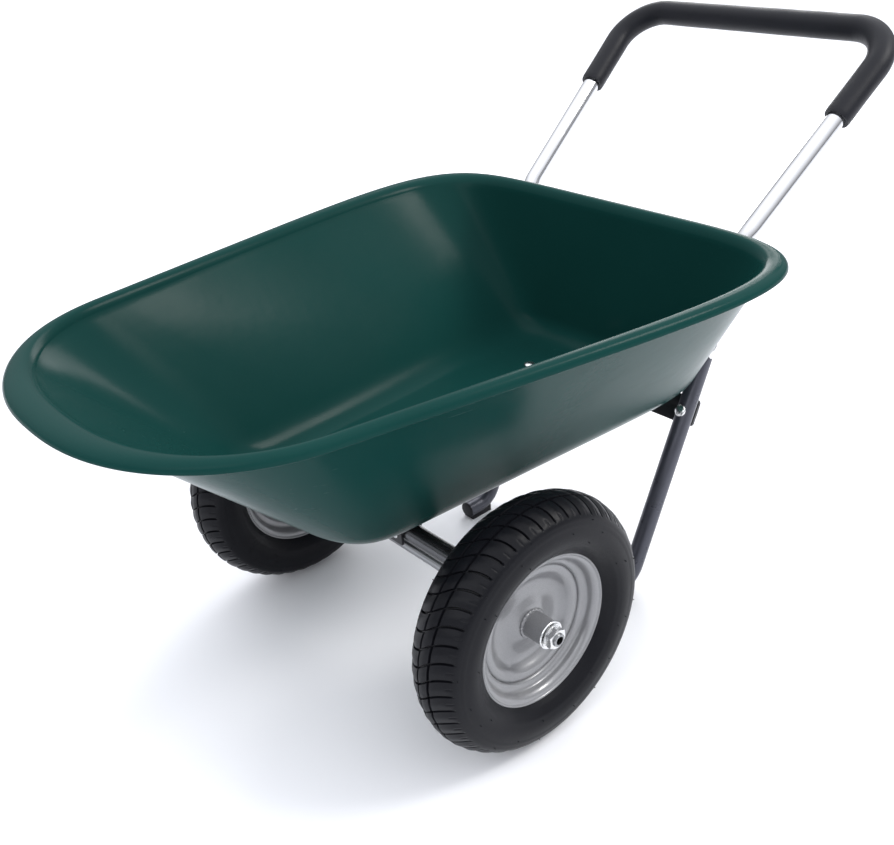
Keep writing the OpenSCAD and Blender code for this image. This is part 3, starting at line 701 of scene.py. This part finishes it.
def build_rails():
    top, foot, down = drop_line()
    route = rounded_route([top + down * SOCKET_TOP, foot, (RAIL_FRONT_X, *foot[1:])], [RAIL_BEND])
    for side, sign in SIDES.items():
        shape = tube(route * (1, sign, 1), RAIL_R, RAIL_R - TUBE_WALL, cols=64)
        piece(f"rail_{side}_tube", shape[0], shape[1], "frame_paint", "frame", f"rail_{side}", run=shape[2])


def leg_points():
    """The left leg's top, bend and foot end."""
    low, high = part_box("leg_left")
    y = (low.y + high.y) / 2
    foot = np.array([FOOT_X, y, low.z + TUBE_R])
    up = np.array([-math.sin(LEG_LEAN), 0, math.cos(LEG_LEAN)])
    return foot + up * LEG_L, foot, np.array([high.x, y, foot[2]])


def build_legs():
    route = rounded_route(leg_points(), [FOOT_BEND], arc=3)
    for side, sign in SIDES.items():
        shape = tube(route * (1, sign, 1), TUBE_R, TUBE_R - TUBE_WALL, cols=64)
        piece(f"leg_{side}_tube", shape[0], shape[1], "frame_paint", "frame", f"leg_{side}", run=shape[2])


def straight_tube(name, node, slot):
    """A straight CAD tube along Y, with eased ends."""
    low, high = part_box(node)
    outer = (high.z - low.z) / 2
    inner = Round(solids(node)[0], axis=(0, 1, 0)).inner
    centre = np.array([(low.x + high.x) / 2, 0, (low.z + high.z) / 2])
    ends = [centre + (0, low.y, 0), centre + (0, high.y, 0)]
    shape = tube(np.array([ends[0], *between(*ends, 0.03)]), outer, inner, cols=72)
    piece(name, shape[0], shape[1], slot, "frame", node, run=shape[2])


# Plugs, rings, bolts and nuts --------------------------------------------

def add_plug(heap, solid):
    """A push-in plug: a domed cap with a rounded edge on a short stem."""
    cap, stem = 2.5 * MM, solid.low
    r = solid.outer
    edge = np.radians([0, 20, 40, 60, 80])
    radius = [0, r - 1.9 * MM, r - 1.9 * MM, *(r - 1.3 * MM * (1 - np.cos(edge))), r * 0.6, r * 0.3, 0]
    base = solid.high - cap
    height = [stem, stem, base, *(base + 0.2 * MM + 1.5 * MM * np.sin(edge)),
              solid.high - 0.35 * MM, solid.high - 0.08 * MM, solid.high]
    heap.add(*turned(solid.centre, solid.axis, radius, height, 64, closed=False))


def add_ring(heap, solid, ease=0.3 * MM, cols=72):
    """A plain collar with eased edges."""
    low, high, outer, inner = solid.low, solid.high, solid.outer, solid.inner
    radius = [inner, inner + ease, outer - ease, outer, outer, outer - ease, inner + ease, inner]
    height = [low + ease, low, low, low + ease, high - ease, high, high, high - ease]
    heap.add(*turned(solid.centre, solid.axis, radius, height, cols))


def add_bolt(heap, solid, r):
    """A domed bolt: a rimmed head, a plain shank of radius r and a threaded end."""
    head_r, brim, pitch = solid.outer, 0.8 * MM, 0.5 * MM
    head_h = 4.5 * MM if head_r > 7 * MM else 3.5 / 5.5 * head_r
    seat = solid.high - head_h
    ridges = range(int(min(0.45 * (seat - solid.low), 18 * MM) / pitch))
    start = solid.low + len(ridges) * pitch + 0.6 * MM
    dome = np.radians(np.arange(90, -1, -7.5))
    radius = [*(head_r * np.cos(dome)), head_r, head_r - 0.3 * MM, r, r]
    height = [*(seat + brim + (head_h - brim) * np.sin(dome)), seat + 0.3 * MM, seat, seat, start]
    radius += [r - (0.28 * MM if k % 2 else 0) for k in ridges] + [r - 0.7 * MM, 0]
    height += [start - pitch * (k + 0.5) for k in ridges] + [solid.low, solid.low]
    heap.add(*turned(solid.centre, solid.axis, radius, height, 48, closed=False))


def add_nut(heap, solid, cols=72):
    """A hexagon nut with both ends chamfered."""
    flat = solid.outer * math.cos(math.pi / 6)
    angle = np.arange(cols) * TURN / cols
    within = (angle + math.pi / 6) % (math.pi / 3) - math.pi / 6
    hexagon = flat / np.cos(within)
    drop = (hexagon - flat * 0.97) * math.tan(math.radians(30))
    whole = np.ones(cols)
    low, high, bore = solid.low, solid.high, solid.inner
    radius = [bore * whole, (bore + 0.5 * MM) * whole, flat * 0.97 * whole, hexagon,
              hexagon, flat * 0.97 * whole, (bore + 0.5 * MM) * whole, bore * whole]
    height = [(low + 0.5 * MM) * whole, low * whole, low * whole, low + drop,
              high - drop, high * whole, high * whole, (high - 0.5 * MM) * whole]
    heap.add(*turned(solid.centre, solid.axis, radius, height, cols))


def build_group(node, add, slot, **settings):
    """One detailed piece for all the solids of a CAD node."""
    heap = Heap()
    for points in solids(node):
        add(heap, Round(points), **settings)
    heap.piece(f"{node}_detailed", slot, "frame", node, sharp=30)


def build_fasteners():
    for node in ("rail_plugs", "leg_plugs", "beam_plugs"):
        build_group(node, add_plug, "black_plastic")
    for node in ("tray_bolts", "leg_bolts", "brace_bolts"):
        build_group(node, add_bolt, "zinc_steel", r=4 * MM)
    for node in ("beam_bolts", "handle_bolts"):
        build_group(node, add_bolt, "zinc_steel", r=3 * MM)
    for node in ("tray_nuts", "leg_nuts", "brace_nuts", "beam_nuts", "handle_nuts", "axle_nuts"):
        build_group(node, add_nut, "zinc_steel")
    for node in ("tray_washers", "axle_washers"):
        build_group(node, add_ring, "zinc_steel")
    build_group("axle_spacers", add_ring, "axle_steel")


# Pressed brackets and pads -----------------------------------------------

def build_softened(name, node, slot, width):
    """A CAD solid with its hard edges rounded, as folding, cutting and coating leave them."""
    shape = bmesh.new()
    shape.from_mesh(frame["nodes"][node].data)
    bmesh.ops.remove_doubles(shape, verts=shape.verts, dist=2e-6)
    bmesh.ops.dissolve_limit(shape, angle_limit=math.radians(1), verts=shape.verts, edges=shape.edges)
    hard = [e for e in shape.edges if len(e.link_faces) == 2 and e.calc_face_angle(0) > math.radians(40)]
    bmesh.ops.bevel(shape, geom=hard, offset=width, segments=3, profile=0.5,
                    affect="EDGES", clamp_overlap=True)
    bmesh.ops.remove_doubles(shape, verts=shape.verts, dist=1e-6)
    points = [v.co[:] for v in shape.verts]
    faces = [[v.index for v in f.verts] for f in shape.faces]
    shape.free()
    piece(name, points, faces, slot, "frame", node)


def build_brackets():
    for side in SIDES:
        build_softened(f"axle_plate_{side}_cut", f"axle_plate_{side}", "bracket_paint", 0.5 * MM)
    for end in ("front", "rear"):
        build_softened(f"hanger_{end}_pressed", f"hanger_{end}", "bracket_paint", 0.6 * MM)
    build_softened("rear_brace_plate", "rear_brace", "bracket_paint", 0.8 * MM)
    build_softened("foot_pads_moulded", "foot_pads", "black_plastic", 1.2 * MM)
    build_softened("saddle_spacers_moulded", "saddle_spacers", "black_plastic", 0.4 * MM)


# Wheels ------------------------------------------------------------------

def wheel_frame(side):
    """The wheel's centre and its outboard direction."""
    joint = next(j for j in frame["joints"] if j["child"] == f"wheel_{side}")
    return np.array(joint["pos_m"], float), np.array([0, SIDES[side], 0], float)


def tyre_section(tread_r, half_w):
    """The tyre's outer outline from one bead to the other, as (radius, width), and where each point is."""
    half = np.array([
        (165, 0), (164.3, 6), (162.6, 12.5), (159.6, 19), (155.4, 25.5), (150.4, 30.8), (145.4, 33.6),
        (140.6, 34.7), (134, 36), (126.5, 36.8), (118.5, 36.2), (111.5, 33.9), (106.4, 30.8), (103, 28.4),
        (101.2, 26.7), (99.8, 24.6), (97.6, 23), (93.4, 22.6), (90.6, 21.6), (89.5, 19.8), (89.5, 14.2),
    ]) * MM
    half *= (tread_r / half[0][0], half_w / half[:, 1].max())
    return np.vstack([half[:0:-1] * (1, -1), half])


SIPES = 46
GROOVE_Z, GROOVE_HALF = 8.5 * MM, 1.5 * MM
GROOVE_DEPTH, SIPE_DEPTH, NICK_DEPTH = 3.4 * MM, 3.6 * MM, 0.7 * MM
SIPE_SWEEP, SIPE_REACH = 15 * MM, 38 * MM
CASING = 7 * MM


def tread_rows(section):
    """Points along the section, dense on the tread, with a row on each groove edge."""
    line = smooth_line(section, 0.3 * MM)
    along = lengths(line)
    crown = along[np.argmax(line[:, 0])]
    reach = along[-1] - crown
    offsets = np.concatenate([
        np.arange(0, 46 * MM, 1.4 * MM), np.arange(46 * MM, 92 * MM, 2.2 * MM), [reach],
        GROOVE_Z + GROOVE_HALF * np.array([-1.15, -1, -0.6, 0, 0.6, 1, 1.15]),
    ])
    offsets = np.unique(np.round(offsets[offsets <= reach], 6))
    offsets = offsets[np.concatenate([[True], np.diff(offsets) > 0.12 * MM])]
    offsets = np.concatenate([-offsets[:0:-1], offsets])
    rows = np.stack([np.interp(crown + offsets, along, line[:, k]) for k in (0, 1)], -1)
    slope = np.gradient(rows, axis=0)
    normal = np.stack([-slope[:, 1], slope[:, 0]], -1)
    normal /= np.linalg.norm(normal, axis=1)[:, None]
    normal *= np.sign(normal[len(rows) // 2, 0])
    return rows, normal, offsets


def ramp(value, start, end):
    """0 before start, 1 after end, smooth between."""
    t = np.clip((value - start) / (end - start), 0, 1)
    return t * t * (3 - 2 * t)


def tread_columns():
    """Places in one pitch: the sipe is at 0.5, and the small shoulder nick at 0."""
    phases = np.array([0, 0.018, 0.042, 0.072, 0.15, 0.25, 0.35, 0.405, 0.428, 0.45, 0.472, 0.5])
    phases = np.concatenate([phases, 1 - phases[1:-1][::-1]])
    pitch = np.arange(SIPES)[:, None]
    return ((pitch + phases) / SIPES * TURN).ravel(), np.tile(phases, SIPES)


def tread_depth(offset, phase):
    """How deep the pattern is cut, over rows by columns."""
    away = np.abs(offset)[:, None]
    groove = GROOVE_DEPTH * (1 - ramp(np.abs(away - GROOVE_Z), 0.6 * GROOVE_HALF, 1.15 * GROOVE_HALF))
    from_sipe = np.abs(phase - 0.5)[None]
    from_nick = np.minimum(phase, 1 - phase)[None]
    fade = 1 - ramp(away, 33 * MM, 41 * MM)
    sipe = SIPE_DEPTH * (1 - ramp(from_sipe, 0.026, 0.07)) * fade
    nick_zone = ramp(away, 29 * MM, 31.5 * MM) * (1 - ramp(away, 36.5 * MM, 40 * MM))
    nick = NICK_DEPTH * (1 - ramp(from_nick, 0.016, 0.066)) * nick_zone
    swell = 0.55 * MM * (1 - np.cos(phase[None] * TURN)) * ramp(away, -20 * MM, 30 * MM) * fade
    return np.maximum(np.maximum(groove, sipe), nick) + swell + 0.35 * MM


def sweep_of_sipes(offset):
    """How far round the tread a sipe has moved, at each distance from the crown."""
    share = np.clip(np.abs(offset) / SIPE_REACH, 0, 1)
    return SIPE_SWEEP * np.sign(offset) * (1 - (1 - share) ** 2.2)


def sidewall_rings(offset):
    """Fine raised rings moulded into the sidewall."""
    away = np.abs(offset)[:, None]
    height = np.zeros(away.shape)
    for at, tall, wide in ((50, 0.5, 1.5), (78, 0.7, 1.6), (82.5, 0.35, 1.0)):
        height += tall * MM * np.exp(-((away - at * MM) / (wide * MM)) ** 2)
    return height * ramp(away, 44 * MM, 47 * MM)


def build_tyre(side):
    centre, outboard = wheel_frame(side)
    low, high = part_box(f"tyre_{side}")
    rows, normal, offset = tread_rows(tyre_section((high.z - low.z) / 2, (high.y - low.y) / 2))
    angle, phase = tread_columns()
    cols = len(angle)
    cut = tread_depth(offset, phase) - sidewall_rings(offset)
    radius = rows[:, :1] - normal[:, :1] * cut
    width = rows[:, 1:] - normal[:, 1:] * cut
    turn = angle[None] + (sweep_of_sipes(offset) / rows[:, 0].max())[:, None]
    inner = rows[::3] * (1, 0.78) - (CASING, 0)
    inner = inner[inner[:, 0] > 100 * MM]
    radius = np.concatenate([radius, np.repeat(inner[::-1, :1], cols, 1)])
    width = np.concatenate([width, np.repeat(inner[::-1, 1:], cols, 1)])
    turn = np.concatenate([turn, np.repeat(angle[None], len(inner), 0)])
    east = np.array([outboard[1], 0, 0])
    north = np.array([0, 0, 1.0])
    out = np.cos(turn)[..., None] * east + np.sin(turn)[..., None] * north
    points = centre + radius[..., None] * out + width[..., None] * outboard
    along = np.concatenate([offset, np.zeros(len(inner))])[:, None] * np.ones(cols)
    run = np.stack([radius, along, np.cos(turn)], -1)
    heap = Heap()
    heap.add(points.reshape(-1, 3), grid_quads(len(radius), cols, True), run.reshape(-1, 3))
    add_vents(heap, centre, outboard, east, rows, normal, offset)
    heap.piece(f"tyre_{side}_treaded", "tyre_rubber", f"wheel_{side}", f"tyre_{side}", sharp=38)


def add_vents(heap, centre, outboard, east, rows, normal, offset):
    """The short rubber hairs that the mould's vents leave on the sidewalls and shoulders."""
    chance = np.random.default_rng(7)
    for at_mm, count in ((44, 9), (58, 11), (71, 9), (-44, 9), (-58, 11), (-71, 9)):
        for k in range(count):
            at = at_mm * MM + chance.normal() * 1.2 * MM
            turn = (k + chance.uniform(-0.3, 0.3)) / count * TURN
            row = np.argmin(np.abs(offset - at))
            out = math.cos(turn) * east + math.sin(turn) * np.array([0, 0, 1.0])
            root = centre + rows[row, 0] * out + rows[row, 1] * outboard
            way = unit(normal[row, 0] * out + normal[row, 1] * outboard)
            tall = chance.uniform(0.7, 1.8) * MM
            wide = chance.uniform(0.45, 0.75) * MM
            heap.add(*turned(root, way, [0, wide, wide, 0.6 * wide, 0],
                             [-0.6 * MM, -0.6 * MM, 0.7 * tall, tall, tall], 8, closed=False))


SHEET = 2.4 * MM
RIM_FACE = np.array([      # in from the edge and out from its crest, from the flange to the well
    (0.3, -4.0), (0, -2.3), (0.4, -0.9), (1.4, -0.1), (2.5, -0.4), (3.2, -1.5), (4.2, -2.3),
    (6.4, -2.9), (8.9, -4.5), (11.0, -7.4), (12.0, -10.4), (13.0, -13.4), (15.4, -15.5),
    (18.6, -16.5), (21.2, -18.2), (22.4, -21.2), (22.4, -26.6),
]) * MM


def rim_section(r, crest):
    """Half of the rolled sheet's outline, as (radius, width), for a rim of radius r and half width crest."""
    face = smooth_line(RIM_FACE, 0.8 * MM)
    front = np.column_stack([r - face[:, 0], crest + face[:, 1]])
    slope = np.gradient(front, axis=0)
    push = np.stack([-slope[:, 1], slope[:, 0]], -1)
    push /= np.linalg.norm(push, axis=1)[:, None]
    push *= np.sign(push[-1, 0])
    back = front + SHEET * push
    back[:, 0] = np.minimum(back[:, 0], r)
    return np.vstack([front[::-1], back[back[:, 1] < crest - 3 * MM]])


def build_rim(side):
    """A pressed rim: rolled flanges, bead seats, a stepped well and a deep dished disc."""
    centre, outboard = wheel_frame(side)
    low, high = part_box(f"rim_{side}")
    half = rim_section((high.z - low.z) / 2, (high.y - low.y) / 2)
    loop = np.vstack([half, half[::-1] * (1, -1)])
    heap = Heap()
    heap.add(*turned(centre, outboard, loop[:, 0], loop[:, 1], 180))
    add_disc(heap, centre, outboard)
    add_weld(heap, centre, outboard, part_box(f"hub_{side}"))
    heap.piece(f"rim_{side}_pressed", "rim_paint", f"wheel_{side}", f"rim_{side}", sharp=40)


DISC = np.array([          # the dish, as (radius, width)
    (77.6, 3.4), (76.4, 6.0), (74.2, 7.2), (70.5, 7.1), (66.8, 6.3), (63.2, 3.9), (59.6, 0.2), (55.5, -2.8),
    (50, -4.4), (43, -4.3), (36, -2.9), (29.5, -0.2), (24, 2.3), (20, 3.6), (16.4, 4.1),
]) * MM


def add_disc(heap, centre, outboard):
    front = smooth_line(DISC, 0.9 * MM)
    loop = np.vstack([front, front[::-1] - (0, SHEET)])
    heap.add(*turned(centre, outboard, loop[:, 0], loop[:, 1], 180))


def add_weld(heap, centre, outboard, hub_box):
    """The weld round the hub, on both faces of the disc: a bead of overlapping ripples."""
    hub_r = (hub_box[1].z - hub_box[0].z) / 2
    cols, ripples = 192, 20
    angle = np.arange(cols) * TURN / cols
    fat = 2.4 * MM + 0.9 * MM * np.abs(np.sin(angle * ripples / 2)) + 0.4 * MM * np.sin(angle * 3 + 1)
    turn = np.arange(14) * TURN / 14
    for z in (4.6 * MM, 1.0 * MM):
        radius = hub_r + 0.2 * MM + fat[None] * np.cos(turn)[:, None]
        height = z + 0.8 * fat[None] * np.sin(turn)[:, None]
        heap.add(*turned(centre, outboard, radius, height, cols))


def build_hub(side):
    centre, outboard = wheel_frame(side)
    body = f"wheel_{side}"
    heap = Heap()
    add_ring(heap, Round(solids(f"hub_{side}")[0], axis=outboard), ease=0.6 * MM, cols=96)
    heap.piece(f"hub_{side}_sleeve", "rim_paint", body, f"hub_{side}")
    for place in ("outer", "inner"):
        node = f"{place}_bearing_{side}"
        heap = Heap()
        add_bearing(heap, Round(solids(node)[0], axis=outboard * (1 if place == "outer" else -1)))
        heap.piece(f"{node}_flanged", "zinc_steel", body, node, sharp=30)


def add_bearing(heap, solid):
    """A flanged bearing: a dished cap with a rolled edge, and its race standing a little proud."""
    r, bore, top = solid.outer, solid.inner, solid.high
    seat = top - 3 * MM
    loop = np.array([
        (r - 0.9 * MM, seat), (r - 0.2 * MM, seat + 0.4 * MM), (r, seat + 1.2 * MM),
        (r - 0.5 * MM, seat + 2.0 * MM), (r - 1.5 * MM, seat + 2.2 * MM), (r - 2.6 * MM, seat + 1.5 * MM),
        (r - 4.4 * MM, seat + 1.4 * MM), (bore + 3.6 * MM, seat + 2.2 * MM),
        (bore + 2.6 * MM, top - 0.2 * MM), (bore + 0.5 * MM, top), (bore, top - 0.5 * MM),
        (bore, solid.low + 0.4 * MM), (bore + 0.4 * MM, solid.low), (13.1 * MM, solid.low),
        (13.5 * MM, solid.low + 0.4 * MM), (13.5 * MM, seat),
    ])
    heap.add(*turned(solid.centre, solid.axis, loop[:, 0], loop[:, 1], 96))


def build_valve(side):
    """The rubber valve stem with its moulded ribs."""
    stem = Round(solids(f"valve_{side}")[0])
    line = [(0, 0), (6.6, 0), (7, 0.4), (7, 2.6), (5.2, 3.4), (4.5, 6)]
    for rib in range(8, 18, 2):
        line += [(4.5, rib), (4.1, rib + 0.3), (4.1, rib + 1.2), (4.5, rib + 1.5)]
    tip = (stem.high - stem.low) / MM
    line += [(4.3, 22), (3.4, 25), (2.6, 25.2), (2.6, tip), (0, tip)]
    radius, from_foot = np.array(line).T * MM
    heap = Heap()
    heap.add(*turned(stem.centre, stem.axis, radius, stem.high - from_foot, 48, closed=False))
    heap.piece(f"valve_{side}_stem", "butyl_rubber", f"wheel_{side}", f"valve_{side}")


def build_valve_cap(side):
    """The ribbed cap, its closed end just past the tip of the stem."""
    stem = Round(solids(f"valve_{side}")[0])
    cap = Round(solids(f"valve_cap_{side}")[0], axis=stem.axis)
    tip = stem.end(stem.low)
    closed, mouth = sorted((cap.low, cap.high), key=lambda at: np.abs(cap.end(at) - tip).sum())
    step = 0.4 * MM * np.sign(mouth - closed)
    line = np.array([
        (0, closed), (cap.outer - 0.6 * MM, closed), (cap.outer, closed + step),
        (cap.outer, mouth - 2 * step), (cap.outer - 0.2 * MM, mouth), (2.7 * MM, mouth),
        (2.7 * MM, closed + 5 * step), (0, closed + 5 * step),
    ])
    cols, ribs = 60, 15
    radius = np.repeat(line[:, :1], cols, 1)
    radius[2:4] -= 0.16 * MM * (1 + np.cos(np.arange(cols) / cols * TURN * ribs))
    heap = Heap()
    heap.add(*turned(cap.centre, cap.axis, radius, line[:, 1], cols, closed=False))
    heap.piece(f"valve_cap_{side}_ribbed", "black_plastic", f"wheel_{side}", f"valve_cap_{side}")


def dress_inner_tubes():
    """The tubes lie sealed inside the tyres, so their CAD rings stay."""
    for side in SIDES:
        node = frame["nodes"][f"inner_tube_{side}"]
        node.data.materials.clear()
        node.data.materials.append(PAINTS["butyl_rubber"])


# Stage -------------------------------------------------------------------

def add_floor():
    mesh = bpy.data.meshes.new("floor")
    cols = 96
    angle = np.arange(cols) * TURN / cols
    rim = np.stack([14 * np.cos(angle), 14 * np.sin(angle), 0 * angle], -1)
    mesh.from_pydata(rim.tolist(), [], [list(range(cols))])
    mesh.materials.append(floor_white())
    floor = bpy.data.objects.new("floor", mesh)
    bpy.context.scene.collection.objects.link(floor)


def add_light(name, place, target, size, power, tint=(1, 1, 1)):
    data = bpy.data.lights.new(name, "AREA")
    data.shape = "RECTANGLE"
    data.size, data.size_y = size
    data.energy = power
    data.color = tint
    light = bpy.data.objects.new(name, data)
    light.location = place
    light.rotation_mode = "QUATERNION"
    light.rotation_quaternion = (Vector(target) - Vector(place)).to_track_quat("-Z", "Y")
    bpy.context.scene.collection.objects.link(light)


def light_stage():
    world = bpy.data.worlds.new("studio")
    bpy.context.scene.world = world
    world.use_nodes = True
    tree = world.node_tree
    place = tree.nodes.new("ShaderNodeTexCoord")
    height = tree.nodes.new("ShaderNodeSeparateXYZ")
    sky = tree.nodes.new("ShaderNodeMapRange")
    sky.inputs["From Min"].default_value = 0
    sky.inputs["From Max"].default_value = 1
    sky.inputs["To Min"].default_value = 0.27
    sky.inputs["To Max"].default_value = 2.1
    tree.links.new(place.outputs["Generated"], height.inputs["Vector"])
    tree.links.new(height.outputs["Z"], sky.inputs["Value"])
    tree.links.new(sky.outputs["Result"], tree.nodes["Background"].inputs["Strength"])
    tree.nodes["Background"].inputs["Color"].default_value = (0.94, 0.955, 1, 1)
    middle = (0, 0, 0.35)
    add_light("key", (-1.5, 1.7, 2.4), middle, (0.8, 0.8), 36, (1, 0.98, 0.94))
    add_light("rim", (-2.3, -1.5, 1.5), middle, (1.2, 1.8), 26)
    add_light("fill", (2.4, 1.2, 1.8), middle, (2.0, 1.2), 10, (0.95, 0.98, 1))
    bpy.context.scene.view_settings.view_transform = "Standard"


add_camera()
build_tray()
build_handle()
build_grip()
build_rails()
build_legs()
straight_tube("axle_beam_tube", "axle_beam", "beam_steel")
straight_tube("axle_tube_drawn", "axle_tube", "axle_steel")
build_fasteners()
build_brackets()
for wheel_side in SIDES:
    build_tyre(wheel_side)
    build_rim(wheel_side)
    build_hub(wheel_side)
    build_valve(wheel_side)
    build_valve_cap(wheel_side)
dress_inner_tubes()
add_floor()
light_stage()
